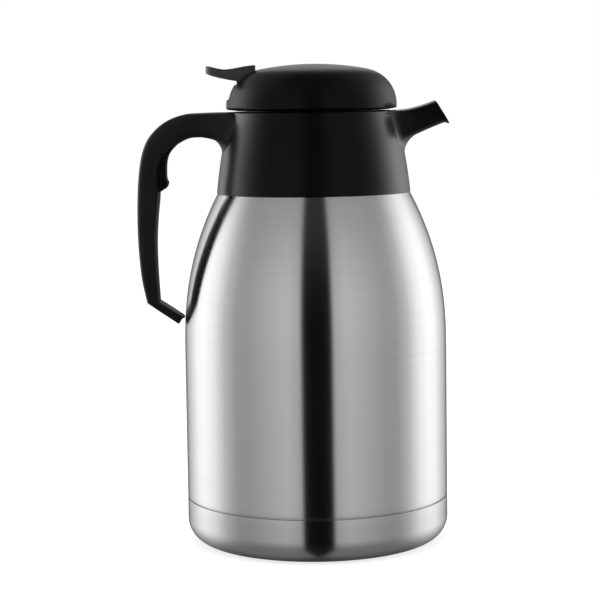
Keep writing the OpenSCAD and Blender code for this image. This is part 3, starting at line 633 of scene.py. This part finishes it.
def buildCollar():
    skin = Skin()
    window = math.radians(collar["windowDeg"])
    sEnd = outlineAlong[-1]
    sLow = alongAtHeight(collar["windowLow"])
    sRound = alongAtHeight(collar["top"] - collar["edge"])
    lowRows = list(np.linspace(0.0, 0.5, 4)) + list(np.linspace(0.5, sLow, 9)[1:])
    midRows = list(np.linspace(sLow, sRound, 22))
    roundRows = list(outlineAlong[outlineAlong > sRound + 0.01])
    highRows = midRows + roundRows
    bodyTurns = np.linspace(window, 2 * math.pi - window, collar["bodyColumns"])
    windowTurns = np.linspace(-window, window, collar["windowColumns"])
    allTurns = np.concatenate([windowTurns[:-1], bodyTurns])
    # lower band runs right round, the upper one leaves the spout's window open
    skin.sheet([[onCollar(t, s) for t in allTurns[:-1]] for s in lowRows], closed=True)
    skin.sheet([[onCollar(t, s) for t in bodyTurns] for s in highRows])

    # outline of the spout's root, as pairs of turn and distance along the collar's side
    half, power, rootLow = spout["rootHalf"], spout["rootPower"], spout["rootLow"]
    rootHigh = collar["top"] - collar["edge"]
    upper = [(-math.asin(half / outlineAt(s)[0]), s) for s in reversed(roundRows)]
    dense = []
    for tau in np.linspace(0, math.pi, 240):
        y = -half * math.copysign(abs(math.cos(tau)) ** (2 / power), math.cos(tau))
        z = rootHigh - (rootHigh - rootLow) * math.sin(tau) ** (2 / power)
        s = alongAtHeight(z)
        dense.append((math.asin(y / outlineAt(s)[0]), s, y, z))
    dense = np.array(dense)
    along = np.concatenate([[0], np.cumsum(np.hypot(np.diff(dense[:, 2]), np.diff(dense[:, 3])))])
    wanted = np.linspace(0, along[-1], 2 * len(midRows) + len(windowTurns) - 2)
    lower = list(zip(*[np.interp(wanted, along, dense[:, k]) for k in (0, 1)]))
    root = np.array(upper + lower + [(-t, s) for t, s in reversed(upper)])
    edge = np.array([(-window, s) for s in reversed(highRows)]
                    + [(t, sLow) for t in windowTurns[1:-1]] + [(window, s) for s in highRows])
    # rows from the window's edge to the root, closer together near the root
    shares = [1 - (1 - k / 12) ** 1.25 for k in range(13)]
    patch = [[onCollar(*(a * (1 - f) + b * f)) for a, b in zip(edge, root)] for f in shares]
    skin.sheet(patch)

    # flare from the collar into the spout, then on to the mouth
    rootPoints = np.array([onCollar(t, s) for t, s in root])
    landTurn = root[-1][0]
    topTurns = np.linspace(-landTurn, landTurn, 21)
    topPoints = np.array([onCollar(t, sEnd) for t in topTurns[-2:0:-1]])
    ring0 = np.vstack([rootPoints, topPoints])
    centreZ = (collar["top"] + rootLow) / 2
    turns = np.arctan2(ring0[:, 1] / half, (ring0[:, 2] - centreZ) / (collar["top"] - centreZ))
    # direction in which the surface leaves the collar: towards the middle of the root,
    # and straight out along X near the collar's top
    last, outward = len(root) - 1, np.array([1.0, 0, 0])
    inward = []
    for i, (t, s) in enumerate(root):
        along = rootPoints[min(i + 1, last)] - rootPoints[max(i - 1, 0)]
        across = unit(np.cross(collarNormal(t, min(max(s, 0.1), sEnd - 0.3)), along))
        if np.dot(across, np.array([50, 0, centreZ]) - rootPoints[i]) < 0:
            across = -across
        lift = 1 - smoothStep(min(i, last - i) / len(roundRows), 0.0, 1.3)
        inward.append(unit(across * (1 - lift) + outward * lift))
    inward = np.array(inward + [outward] * len(topPoints))

    tip = np.array(spout["tip"])
    powerTop, powerUnder = spout["powerTop"], spout["powerUnder"]
    powers = powerUnder + (powerTop - powerUnder) * smoothStep(np.cos(turns), -0.4, 0.4)

    def spoutRing(t, flare=0.0):
        up, under = bezier(spout["top"], t), bezier(spout["under"], t)
        width = bezier(spout["halfWidths"], t)
        return superOval(up, under * (1 - flare) + tip * flare, width + 0.3 * flare, powers, turns)

    joinAt = spout["joinAt"]
    ring1 = spoutRing(joinAt)
    slope1 = spoutRing(joinAt + 0.02) - spoutRing(joinAt - 0.02)
    reach = np.linalg.norm(ring1 - ring0, axis=1)[:, None]
    side = smoothStep(np.abs(np.sin(turns)), 0.35, 0.85)[:, None]
    leave, arrive = [a * (1 - side) + b * side for a, b in (spout["leave"], spout["arrive"])]
    slope0, slope1 = inward * reach * leave, unit(slope1) * reach * arrive
    rings = [hermite(ring0, slope0, ring1, slope1, f) for f in np.linspace(0, 1, 23)]
    rings += [spoutRing(t) for t in np.linspace(joinAt, 0.975, 22)[1:]]
    rings += [spoutRing(0.988, 0.35), spoutRing(1.0, 0.9)]
    # the lip is rounded outwards, square to the plane of the mouth
    lipRing = spoutRing(1.0, 1.0)
    centre = lipRing.mean(axis=0)
    lipTop = spout["top"][-1]
    mouthOut = unit(np.array([lipTop[1] - tip[1], 0, tip[0] - lipTop[0]]))
    rings += [centre + (lipRing - centre) * size + mouthOut * out
              for size, out in ((0.995, 0.12), (0.955, 0.22))]
    rows = skin.sheet(rings, closed=True)

    # land, bore and underside
    bore, recess, land = collar["bore"], collar["recess"], collar["landInner"]
    edgeTurns = [math.atan2(row[-1][1], row[-1][0]) for row in patch]
    innerTurns = np.concatenate([topTurns, edgeTurns[::-1][1:], bodyTurns[1:-1],
                                 [-t for t in edgeTurns[:-1]]])
    boreRows = np.linspace(collar["boreLow"], recess, 16)

    def bored(r, z, where):
        return [polar(r, t, z) for t in where]

    step = ((land, outline[-1][1]), (land, recess), (bore, recess))
    skin.sheet([bored(r, z, innerTurns) for r, z in step], closed=True)
    skin.sheet([bored(bore, z, bodyTurns) for z in boreRows])
    gap, flaskTop = collar["gap"], flask["flatTop"]
    under = [(shoulderRadius(z) + gap, z) for z in np.linspace(collar["low"][1], flaskTop, 12)]
    under += [(collar["underInner"], flaskTop + gap), (bore, flaskTop + gap), (bore, collar["boreLow"])]
    skin.sheet([bored(r, z, allTurns[:-1]) for r, z in [outline[0]] + under], closed=True)
    # rectangle of the bore's window, matched to the duct's inner end
    upperTurns = np.concatenate([[-t for t in edgeTurns], topTurns[1:-1], edgeTurns[::-1]])
    rect = np.array([(t, collar["boreLow"]) for t in windowTurns]
                    + [(window, z) for z in boreRows[1:-1]]
                    + [(t, recess) for t in reversed(upperTurns)]
                    + [(-window, z) for z in reversed(boreRows[1:-1])])
    wide, high = spout["ductHalf"]
    ductTurns = np.arctan2(bore * np.sin(rect[:, 0]) / wide, (rect[:, 1] - spout["ductMid"]) / high)

    def ductRing(t):
        up, low = bezier(spout["ductTop"], t), bezier(spout["ductUnder"], t)
        width = bezier(spout["halfWidths"], t) - spout["wall"] - spout["ductNarrower"] * (1 - t)
        return superOval(up, low, width, spout["powerUnder"], ductTurns)

    rectPoints = np.array([polar(bore, t, z) for t, z in rect])
    ductRings = []
    for f in np.linspace(0, 1, 7):
        # these rows lie on the bore's own wall
        ring = rectPoints * (1 - f) + ductRing(0.0) * f
        ring[:, 0] = np.sqrt(bore ** 2 - ring[:, 1] ** 2)
        ductRings.append(ring)
    ductRings += [ductRing(t) for t in np.linspace(0.05, 0.985, 22)] + [ductRing(1.0)]
    ductRows = skin.sheet(ductRings, closed=True)

    def byTurn(row, keys):
        order = np.argsort(keys)
        order = np.append(order, order[0])
        return [row[k] for k in order], list(keys[order[:-1]]) + [keys[order[0]] + 2 * math.pi]

    # the mouth's rim joins two rings that have different numbers of points
    lip, lipKeys = byTurn(rows[-1], turns)
    ductEnd, ductKeys = byTurn(ductRows[-1], ductTurns)
    skin.stitch(lip, ductEnd, lipKeys, ductKeys)
    return skin


collarPiece = skinObject("collarWithSpout", buildCollar(), 38.0)
place(collarPiece, blackPlastic, "vessel", ["collar"])
print("collar and spout made")

handle = {
    "rootTop": 229.9,
    "rootLow": 208.7,
    "rootHalf": 19.5,
    "rootPowers": (4.5, 3.0),  # roundness of the root's upper and lower half
    "rootAim": -44.0,          # X of the point that the root's surface runs towards
    "rootProud": 0.04,
    "fillet": 0.8,
    "joinAt": 1.0,             # station at which the root's fillet ends
    "power": 4.2,
    "legPower": 7.0,
    "sides": 96,
    "tip": 7.6,
    # outer edge and inner edge in the XZ plane, and half width
    "path": [
        [-47.5, 229.95, -48.6, 212.4, 14.0], [-53.0, 229.9, -52.4, 215.3, 11.8],
        [-60.0, 229.7, -59.6, 216.8, 10.5], [-67.0, 229.3, -66.2, 216.2, 10.5],
        [-74.0, 227.3, -70.8, 213.9, 10.5], [-80.0, 224.1, -74.8, 211.5, 10.5],
        [-85.0, 219.6, -78.2, 208.0, 10.5], [-88.7, 214.2, -80.4, 203.4, 10.5],
        [-91.2, 206.8, -81.3, 198.0, 10.5], [-92.7, 197.5, -81.6, 192.0, 10.5],
        [-93.5, 187.5, -81.9, 185.0, 10.5], [-93.9, 175.0, -83.1, 174.0, 10.5],
        [-93.8, 163.0, -83.8, 162.5, 10.2], [-93.2, 151.5, -83.8, 151.0, 9.9],
        [-92.0, 140.5, -83.4, 141.0, 9.4], [-89.7, 129.2, -82.8, 129.9, 8.9],
    ],
    "tipOuter": (-72.9, 117.65),
    "tipInner": (-70.35, 121.6),
}

strip = {
    "half": 7.5,
    "proud": 0.35,             # rise of its face over its ends
    "sunk": 0.2,
    "power": 5.0,
    # stations as in the handle; the small step is at the third from last
    "path": [
        [-64.6, 218.2, -64.2, 216.75], [-71.2, 215.3, -70.5, 214.1], [-75.7, 212.5, -74.1, 211.4],
        [-79.3, 208.8, -76.7, 208.0], [-81.5, 203.8, -77.9, 203.7], [-82.4, 198.2, -78.2, 198.0],
        [-82.6, 195.0, -78.0, 195.0], [-82.7, 192.9, -77.2, 192.9], [-82.8, 191.2, -78.2, 190.5],
        [-82.9, 190.0, -80.4, 189.0], [-83.0, 189.0, -81.7, 188.2],
    ],
}


def buildHandle():
    skin = Skin()
    turns = np.linspace(0, 2 * math.pi, handle["sides"], endpoint=False)
    topZ, half = handle["rootTop"], handle["rootHalf"]
    midZ = (topZ + handle["rootLow"]) / 2
    ring0, slope0 = [], []
    for turn in turns:
        c, s = math.cos(turn), math.sin(turn)
        power = handle["rootPowers"][0 if c > 0 else 1]
        scale = (abs(c) ** power + abs(s) ** power) ** (-1 / power)
        y = half * s * scale
        z = midZ + (topZ - midZ) * c * scale
        along = alongAtHeight(z)
        r = outlineAt(along)[0]
        angle = math.pi - math.asin(y / r)
        p = onCollar(angle, along)
        normal = collarNormal(angle, along)
        ring0.append(p + normal * handle["rootProud"])
        towards = np.array([handle["rootAim"], 0, midZ]) - p
        flat = unit(towards - normal * np.dot(towards, normal))
        lift = smoothStep(c, 0.2, 0.9)
        slope0.append(unit(flat * (1 - lift) + np.array([-1.0, 0, 0]) * lift))
    ring0, slope0 = np.array(ring0), np.array(slope0)
    path = np.array(handle["path"])

    def ringAt(u):
        v = throughPoints(path, u)
        return superOval(v[0:2], v[2:4], v[4], handle["power"], turns)

    joinAt = handle["joinAt"]
    ring1 = ringAt(joinAt)
    slope1 = ringAt(joinAt + 0.05) - ringAt(joinAt - 0.05)
    reach = np.linalg.norm(ring1 - ring0, axis=1)[:, None] * handle["fillet"]
    slope0, slope1 = slope0 * reach, unit(slope1) * reach
    rings = [hermite(ring0, slope0, ring1, slope1, f) for f in np.linspace(0, 1, 17)]
    rings += [ringAt(u) for u in np.linspace(joinAt, len(path) - 1, 74)[1:]]
    # straight, squarer leg from the last station to the tip
    corner, tip = path[-1], np.array([*handle["tipOuter"], *handle["tipInner"], handle["tip"]])
    power, legPower = handle["power"], handle["legPower"]
    for f in (0.02, 0.2, 0.4, 0.6, 0.8, 0.97):
        v = corner * (1 - f) + tip * f
        rings.append(superOval(v[0:2], v[2:4], v[4],
                               power + (legPower - power) * smoothStep(f, 0.0, 0.4), turns))
    lastRing = superOval(tip[0:2], tip[2:4], tip[4], legPower, turns)
    centre = lastRing.mean(axis=0)
    rings.append(centre + (lastRing - centre) * 0.94)
    skin.closedTube(rings)
    return skin


def buildStrip():
    skin = Skin()
    turns = np.linspace(0, 2 * math.pi, 56, endpoint=False)
    path = np.array(strip["path"])
    last = len(path) - 1
    rings = []
    for u in np.linspace(0, last, 90):
        v = throughPoints(path, u)
        outer, inner = v[0:2], v[2:4]
        away = unit(inner - outer)
        ends = min(float(smoothStep(u, 0.0, 2.5)), (last - u) / 0.35 + 0.25)
        half = strip["half"] * (0.9 + 0.1 * ends)
        inner = inner + away * (strip["proud"] * ends - strip["sunk"])
        rings.append(superOval(outer, inner, half, strip["power"], turns))
    skin.closedTube(rings)
    return skin


handlePiece = skinObject("handleGrip", buildHandle(), 36.0)
place(handlePiece, handlePlastic, "vessel", ["handle"])
stripPiece = skinObject("gripStrip", buildStrip(), 40.0)
place(stripPiece, gripRubber, "vessel", ["handle_strip"])

# thin bar between the handle's tip and the flask
handlePad = {
    "low": (-73.6, -3.6, 120.5),
    "high": (-69.95, 3.6, 121.5),
    "edge": 0.35,
}
padPiece = roundedBlock("flaskPad", handlePad["low"], handlePad["high"], handlePad["edge"])
tidyMesh(padPiece.data, 40.0)
place(padPiece, gripRubber, "vessel", ["handle_pad"])
print("handle made")

lid = {
    "radius": 44.65,
    "crown": 254.8,
    "crownArc": 152.0,
    "cornerArc": 18.8,
    "cornerCentre": (25.85, 233.4),
    "rimLow": 231.25,
    "rimRounding": 1.0,
    "under": (39.9, 230.4),
    "flangeInner": 39.6,
    "flangeTop": 232.6,
    "wall": 2.2,
    "slotLow": (-41.0, -8.8, 241.5),
    "slotHigh": (-29.8, 8.8, 275.0),
    "slotRounding": 0.9,
    "tabOut": 1.15,            # how far the tab over the handle stands out of the rim
    "tabTop": (236.1, 236.9),  # heights between which it fades out
    "tabHalfDeg": (9.0, 17.0),
    "tabDepth": 1.6,
}


def domeProfile():
    cx, cz = lid["cornerCentre"]
    crown, arc, corner, wall = lid["crown"], lid["crownArc"], lid["cornerArc"], lid["wall"]
    r, flangeInner, flangeTop = lid["radius"], lid["flangeInner"], lid["flangeTop"]
    bend = math.degrees(math.asin(cx / (arc - corner)))
    path = arcPoints((0, crown - arc), arc, 90, 90 - bend, 44)
    path += arcPoints((cx, cz), corner, 90 - bend, 0, 72)[1:]
    path = relax(path, 14)
    path += roundedPath([(r, cz - 0.1, 0), (r, lid["rimLow"], lid["rimRounding"]), lid["under"] + (0.3,),
                         (flangeInner, lid["under"][1], 0.15), (flangeInner, flangeTop, 0.2),
                         (r - wall, flangeTop, 0.3), (r - wall, cz, 0)])
    path += arcPoints((cx, cz), corner - wall, 0, 90 - bend, 24)[1:]
    path += arcPoints((0, crown - arc), arc - wall, 90 - bend, 90, 20)[1:]
    path[0] = (0, crown)
    path[-1] = (0, crown - wall)
    return path


dome = turnedObject("lidDome", domeProfile(), lidPlastic, 192, 30.0)
slotCutter = roundedBlock("slotCutter", lid["slotLow"], lid["slotHigh"], lid["slotRounding"], 4)
cutOrJoin(dome, slotCutter, "DIFFERENCE")
for point in dome.data.vertices:
    # the tab is a low swelling of the rim over the handle
    x, y, z = point.co / mm
    turned = math.degrees(math.atan2(abs(y), -x))
    swell = (1 - smoothStep(turned, *lid["tabHalfDeg"])) * (1 - smoothStep(z, *lid["tabTop"]))
    if math.hypot(x, y) > lid["radius"] - lid["tabDepth"]:
        point.co.x *= 1 + swell * lid["tabOut"] / lid["radius"]
        point.co.y *= 1 + swell * lid["tabOut"] / lid["radius"]
tidyMesh(dome.data, 30.0)
place(dome, lidPlastic, "lid", ["lid_dome"])

valveSpring = {
    "turns": 6.6,
    "radius": 5.6,
    "wire": 0.6,
    "ends": (0.11, 0.09),      # shares of the turns and of the height in each nearly flat end
    "clearance": 0.02,
    "stepsPerTurn": 26,
    "sides": 10,
    "travel": 6.4,
}


def buildSpring():
    skin = Skin()
    lowBox, highBox = [np.array(corner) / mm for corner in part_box("valve_spring")]
    wire, sides = valveSpring["wire"], valveSpring["sides"]
    inset = wire + valveSpring["clearance"]
    low, high = lowBox[2] + inset, highBox[2] - inset
    count = int(valveSpring["turns"] * valveSpring["stepsPerTurn"])
    flat, rise = valveSpring["ends"]
    rings = []
    for k in range(count + 1):
        share = k / count
        height = float(np.interp(share, [0, flat, 1 - flat, 1], [0, rise, 1 - rise, 1]))
        z = low + (high - low) * height
        turn = 2 * math.pi * valveSpring["turns"] * share
        ring = []
        for n in range(sides):
            b = 2 * math.pi * n / sides
            r = valveSpring["radius"] + wire * math.cos(b)
            ring.append(polar(r, turn, z + wire * math.sin(b)))
        rings.append(ring)
    skin.closedTube(rings)
    return skin, lowBox[2], highBox[2]


springSkin, springLow, springHigh = buildSpring()
springPiece = skinObject("valveCoilSpring", springSkin, 50.0)
place(springPiece, screwSteel, "lid", ["valve_spring"])
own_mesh(springPiece)
print("spring wound")

lever = {
    "half": 8.0,
    "bevel": 0.55,
    "pivot": (-33.5, 241.5),
    "hubRadius": 3.4,
    "pinHole": 1.55,
    # outline as X and Z, from the pad's outer end inwards
    "top": [[-56.3, 253.9], [-55.0, 254.25], [-50.5, 253.1], [-47.4, 252.5], [-44.6, 252.45],
            [-40.0, 253.1], [-35.5, 253.9], [-32.0, 254.3], [-30.3, 254.4]],
    "under": [[-56.3, 250.4], [-53.3, 249.1], [-49.3, 248.0], [-44.3, 246.9], [-39.95, 246.15],
              [-39.7, 244.2], [-37.8, 242.6], [-30.6, 243.0], [-30.15, 251.4]],
    "tipRounding": 7.0,
    "tipBlunt": 0.6,
    # lowest and highest corners of the arm that lifts the valve, and of the gap in it
    "fork": ((-33.5, -6.0, 239.8), (-1.0, 6.0, 243.2)),
    "forkGap": ((-11.0, -3.2, 236.0), (3.0, 3.2, 246.0)),
}


def turnedBar(name, centre, radius, half):
    skin = Skin()
    turns = np.linspace(0, 2 * math.pi, 48, endpoint=False)
    skin.closedTube([[(centre[0] + radius * math.cos(t), y, centre[1] + radius * math.sin(t))
                      for t in turns] for y in (-half, half)])
    return skinObject(name, skin)


def buildLever():
    top, under = lever["top"], np.array(lever["under"])
    topCurve = np.array([throughPoints(top, u) for u in np.linspace(0, len(top) - 1, 81)])
    half, reach, tipX = lever["half"], lever["tipRounding"], top[0][0]
    # columns along the lever, closer together where the pad's outer end is rounded
    tipColumns = tipX + reach * (1 - np.cos(np.linspace(0.0, math.pi / 2, 13)))
    columns = np.concatenate([tipColumns, np.linspace(tipX + reach, under[-2][0], 25)[1:], under[4:, 0]])
    columns = np.unique(np.round(columns, 3))
    topLine = np.interp(columns, topCurve[:, 0], topCurve[:, 1])
    lowLine = np.interp(columns, under[:, 0], under[:, 1])
    inside = np.clip((columns - tipX) / reach, 0, 1)
    wide = half - (reach - lever["tipBlunt"]) * (1 - np.sqrt(1 - (1 - inside) ** 2))
    work = bmesh.new()
    rows = [[work.verts.new((x * mm, sign * w * mm, z * mm)) for x, w, z in zip(columns, wide, line)]
            for line, sign in ((topLine, -1), (topLine, 1), (lowLine, 1), (lowLine, -1))]
    for a, b in zip(rows, rows[1:] + rows[:1]):
        for k in range(len(columns) - 1):
            work.faces.new((a[k], a[k + 1], b[k + 1], b[k]))
    for k in (0, -1):
        work.faces.new([row[k] for row in rows])
    bmesh.ops.recalc_face_normals(work, faces=work.faces)
    sharp = [e for e in work.edges if len(e.link_faces) == 2 and e.calc_face_angle(0) > math.radians(35)]
    bmesh.ops.bevel(work, geom=sharp, offset=lever["bevel"] * mm, segments=3, profile=0.55,
                    affect="EDGES", clamp_overlap=True)
    obj = fromWork("thumbLever", work)
    cutOrJoin(obj, turnedBar("hub", lever["pivot"], lever["hubRadius"], half), "UNION")
    fork = roundedBlock("fork", *lever["fork"], 0.4, 2)
    cutOrJoin(fork, roundedBlock("forkGap", *lever["forkGap"], 0.2, 1), "DIFFERENCE")
    cutOrJoin(obj, fork, "UNION")
    cutOrJoin(obj, turnedBar("pinHole", lever["pivot"], lever["pinHole"], half + 4), "DIFFERENCE")
    tidyMesh(obj.data, 34.0)
    return obj


leverPiece = buildLever()
place(leverPiece, leverPlastic, "lever", ["thumb_lever"])
print("lid and lever made")

# finishes of the pieces kept from the CAD
keptFinishes = {
    drawnSteel: ["inner_liner", "vacuum_disc"],
    getterGrey: ["getter", "evacuation_seal"],
    screwSteel: ["handle_screws", "lid_screws", "lever_pin", "valve_stem", "stem_clip"],
    blackPlastic: ["pour_bowl", "stopper"],
    innerPlastic: ["neck_nut", "valve_disc"],
    clearSilicone: ["neck_gasket", "stopper_gasket", "valve_seal"],
    redSilicone: ["stem_seal"],
}
for finish, nodeNames in keptFinishes.items():
    for nodeName in nodeNames:
        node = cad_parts[nodeName]
        node.data.materials.clear()
        node.data.materials.append(finish)
print("kept pieces finished")

camera = {
    "location": (-0.0069, -1.044, 0.2396),
    "downDeg": 6.04,
    "rollDeg": 0.81,
    "yawDeg": -0.065,
    "lens": 117.48,
}


def aimCamera():
    down, roll, yaw = [math.radians(camera[k]) for k in ("downDeg", "rollDeg", "yawDeg")]
    forward = Vector((math.sin(yaw) * math.cos(down), math.cos(yaw) * math.cos(down), -math.sin(down)))
    right0 = Vector((math.cos(yaw), -math.sin(yaw), 0))
    down0 = forward.cross(right0)
    right = right0 * math.cos(roll) + down0 * math.sin(roll)
    below = down0 * math.cos(roll) - right0 * math.sin(roll)
    data = bpy.data.cameras.new("photoCamera")
    data.lens = camera["lens"]
    data.sensor_width = 36.0
    data.sensor_fit = "HORIZONTAL"
    data.clip_start = 0.05
    obj = bpy.data.objects.new("photoCamera", data)
    axes = Matrix((right, -below, -forward)).transposed().to_4x4()
    obj.matrix_world = Matrix.Translation(camera["location"]) @ axes
    bpy.context.scene.collection.objects.link(obj)
    bpy.context.scene.camera = obj


aimCamera()
bpy.context.scene.view_settings.view_transform = "Standard"


studio = {
    "tentRadius": 4.0,
    "tentStrength": 1.5,
    "tentShift": 0.046,        # sets the dark gap behind the camera a little to the right
    # brightness against the angle from the camera's side, at eye level, high up and low down
    "level": [(0, 0.002), (12, 0.002), (15, 0.38), (27, 0.455), (46, 0.37), (62, 0.292), (74, 0.30),
              (87, 0.47), (101, 0.83), (114, 0.98), (126, 0.93), (140, 0.60), (152, 0.38), (161, 0.14),
              (170, 0.06), (180, 0.06)],
    "high": [(0, 0.03), (13, 0.03), (18, 0.26), (30, 0.28), (75, 0.25), (95, 0.20), (113, 0.20),
             (128, 0.17), (150, 0.12), (180, 0.12)],
    "low": [(0, 0.008), (14, 0.008), (19, 0.17), (120, 0.17), (160, 0.05), (180, 0.05)],
    # degrees over the horizon between which one band gives way to the next
    "toHigh": (16.0, 47.0),
    "fromLow": (-46.0, -13.0),
    # pale patch behind the object: share of half a turn, heights where it starts and ends
    "backTurn": (0.90, 0.97),
    "backStart": (3.0, 14.0),
    "backEnd": (35.0, 60.0),
    "backGlow": 0.42,
    # dimming towards the top of the tent and below the horizon
    "crownFade": (50.0, 80.0),
    "crownShare": 0.15,
    "lowFade": (-22.0, -2.0, 0.85, 1.075),
    "floorHalf": 3.0,
    "floorStrength": 1.32,
    "floorGlow": 0.55,
    "roomLight": 0.75,
    "lampSize": 1.6,
    "lampAim": (0, 0, 0.12),
    "lamps": {"softOverhead": ((0.1, -0.3, 2.3), 28.0), "softLeft": ((-1.7, -1.1, 1.5), 14.0),
              "softRight": ((1.8, -0.9, 1.4), 14.0)},
}


def plainTree(owner):
    # an empty node tree, for a material or world that is only light
    owner.use_nodes = True
    owner.node_tree.nodes.clear()
    return Signal(owner.node_tree)


def plainRays(start):
    # 1 for rays from the camera, off gloss and through glass, 0 for the light on the object
    path = start.tree.nodes.new("ShaderNodeLightPath")
    seen, glossy, through = [Signal(start.tree, path.outputs["Is " + kind + " Ray"])
                             for kind in ("Camera", "Glossy", "Transmission")]
    return seen.calc("MAXIMUM", seen.calc("MAXIMUM", seen, glossy), through)


def dress(obj, material, surface):
    feed(surface.tree.nodes.new("ShaderNodeOutputMaterial"), {"Surface": surface})
    material.cycles.emission_sampling = "NONE"
    obj.data.materials.append(material)


def buildTent():
    work = bmesh.new()
    bmesh.ops.create_uvsphere(work, u_segments=48, v_segments=24, radius=studio["tentRadius"])
    bmesh.ops.reverse_faces(work, faces=work.faces)
    tent = fromWork("studioTent", work)
    material = bpy.data.materials.new("tentCloth")
    spot = plainTree(material).node("ShaderNodeTexCoord", out="Object")
    split = spot.tree.nodes.new("ShaderNodeSeparateXYZ")
    feed(split, {0: spot})
    x, y, z = [Signal(spot.tree, out) for out in split.outputs]
    across = spot.calc("ABSOLUTE", x - studio["tentShift"])
    angle = spot.calc("ARCTAN2", across, y * -1.0) / math.pi
    rise = spot.calc("ARCTAN2", z, (x * x + y * y) ** 0.5) * (180 / math.pi)

    def band(name):
        return angle.node("ShaderNodeValToRGB", {"stops": [(a / 180, v) for a, v in studio[name]]},
                          {0: angle})

    glow = rise.soft(*studio["toHigh"]).mixColour(band("level"), band("high"))
    glow = rise.soft(*studio["fromLow"]).mixColour(band("low"), glow)
    behind = (angle.soft(*studio["backTurn"]) * rise.soft(*studio["backStart"])
              * rise.soft(*studio["backEnd"], studio["backGlow"], 0.0))
    glow = behind.mixColour(glow, (1, 1, 1, 1))
    strength = studio["tentStrength"]
    dim = rise.soft(*studio["crownFade"], strength, studio["crownShare"] * strength)
    dim = dim * rise.soft(*studio["lowFade"])
    for flag in ("visible_camera", "visible_diffuse", "visible_shadow", "visible_transmission"):
        setattr(tent, flag, False)
    dress(tent, material, spot.node("ShaderNodeEmission", None, {"Color": glow, "Strength": dim}))


def buildFloor():
    half = studio["floorHalf"]
    mesh = bpy.data.meshes.new("studioFloor")
    corners = [(-half, -half, 0), (half, -half, 0), (half, half, 0), (-half, half, 0)]
    mesh.from_pydata(corners, [], [(0, 1, 2, 3)])
    floor = objectFrom("studioFloor", mesh)
    material = bpy.data.materials.new("paleFloor")
    spot = plainTree(material).node("ShaderNodeTexCoord", out="Object")
    paint = spot.noise(140.0, 3.0).mixColour((0.86, 0.86, 0.86, 1), (0.9, 0.9, 0.9, 1))
    matt = spot.node("ShaderNodeBsdfDiffuse", None, {"Color": paint})
    glow = spot.node("ShaderNodeEmission", None,
                     {"Color": (1, 1, 1, 1), "Strength": studio["floorStrength"]})
    share = plainRays(spot) * studio["floorGlow"]
    floor.visible_glossy = False
    dress(floor, material, spot.node("ShaderNodeMixShader", None, {0: share, 1: matt, 2: glow}))


def buildWorld():
    world = bpy.data.worlds.new("studioWorld")
    bpy.context.scene.world = world
    seen = plainRays(plainTree(world))
    strength = seen * (1 - studio["roomLight"]) + studio["roomLight"]
    back = seen.node("ShaderNodeBackground", None, {"Color": (1, 1, 1, 1), "Strength": strength})
    feed(seen.tree.nodes.new("ShaderNodeOutputWorld"), {"Surface": back})


def addLamp(name, location, watts):
    data = bpy.data.lights.new(name, "AREA")
    data.shape = "DISK"
    data.size = studio["lampSize"]
    data.energy = watts
    lamp = bpy.data.objects.new(name, data)
    lamp.location = location
    aim = Vector(studio["lampAim"]) - Vector(location)
    lamp.rotation_euler = aim.to_track_quat("-Z", "Y").to_euler()
    lamp.visible_glossy = False
    lamp.visible_camera = False
    bpy.context.scene.collection.objects.link(lamp)


buildTent()
buildFloor()
buildWorld()
for lampName, (location, watts) in studio["lamps"].items():
    addLamp(lampName, location, watts)
print("studio built")
